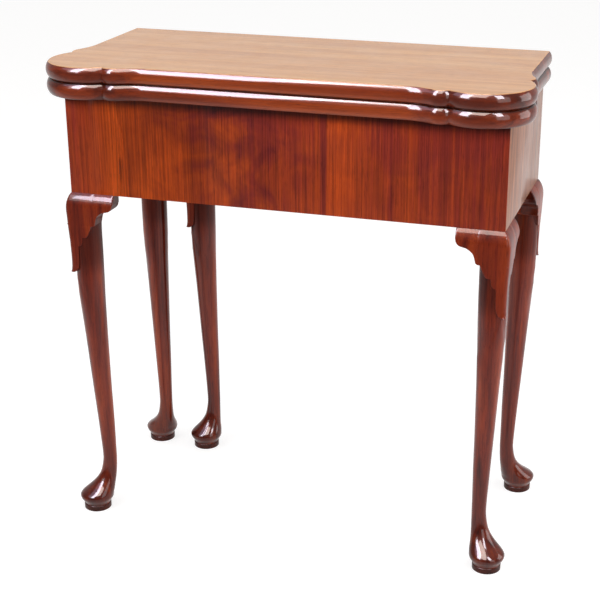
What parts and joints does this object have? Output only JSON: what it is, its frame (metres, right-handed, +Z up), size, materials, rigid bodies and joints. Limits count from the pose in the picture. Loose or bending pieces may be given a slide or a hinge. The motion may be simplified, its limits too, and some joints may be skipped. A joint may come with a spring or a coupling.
{
  "type": "folding tea table",
  "caption": "Fold-over tea table with eared leaves, square case, pad-foot legs and a rear leg that swings out as a gate.",
  "frame": {"origin": "on the floor under the middle of the table's bounding box, with the top folded shut and the gate closed", "axes": "+Z up, +X to the right of a person facing the front, +Y towards the hinged back edge; the front is at -Y"},
  "size_m": [0.708, 0.3406, 0.724],
  "materials": {
    "top_mahogany": "polished",
    "mahogany_veneer": "polished",
    "mahogany": "polished",
    "oak": "matte",
    "brass": "worn",
    "steel": "dull"
  },
  "bodies": {
    "case": {"back_rail_screws": "steel", "corner_blocks": "oak", "front_left_front_bracket": "mahogany", "front_left_leg": "mahogany", "front_left_side_bracket": "mahogany", "front_rail": "oak", "front_right_front_bracket": "mahogany", "front_right_leg": "mahogany", "front_right_side_bracket": "mahogany", "front_veneer": "mahogany_veneer", "gate_pin": "steel", "inner_back_rail": "oak", "left_hinge_lower_plate": "brass", "left_hinge_pin": "brass", "left_rail": "oak", "left_veneer": "mahogany_veneer", "lower_hinge_screws": "brass", "lower_leaf": "top_mahogany", "outer_back_rail": "oak", "rear_left_leg": "mahogany", "rear_left_side_bracket": "mahogany", "rear_right_leg": "mahogany", "rear_right_side_bracket": "mahogany", "right_hinge_lower_plate": "brass", "right_hinge_pin": "brass", "right_rail": "oak", "right_veneer": "mahogany_veneer", "top_blocks": "oak", "top_screws": "steel"},
    "leaf": {"upper_leaf": "top_mahogany", "left_hinge_upper_plate": "brass", "right_hinge_upper_plate": "brass", "upper_hinge_screws": "brass"},
    "gate": {"gate_rail": "oak", "gate_leg": "mahogany", "gate_pegs": "oak"}
  },
  "joints": [
    {"name": "leaf_fold", "type": "hinge", "parent": "case", "child": "leaf", "pos_m": [0, 0.1474, 0.701], "axis": [-1, 0, 0], "range_deg": [0, 180]},
    {"name": "gate_swing", "type": "hinge", "parent": "case", "child": "gate", "pos_m": [0.06, 0.1389, 0.6], "axis": [0, 0, -1], "range_deg": [0, 90]}
  ]
}
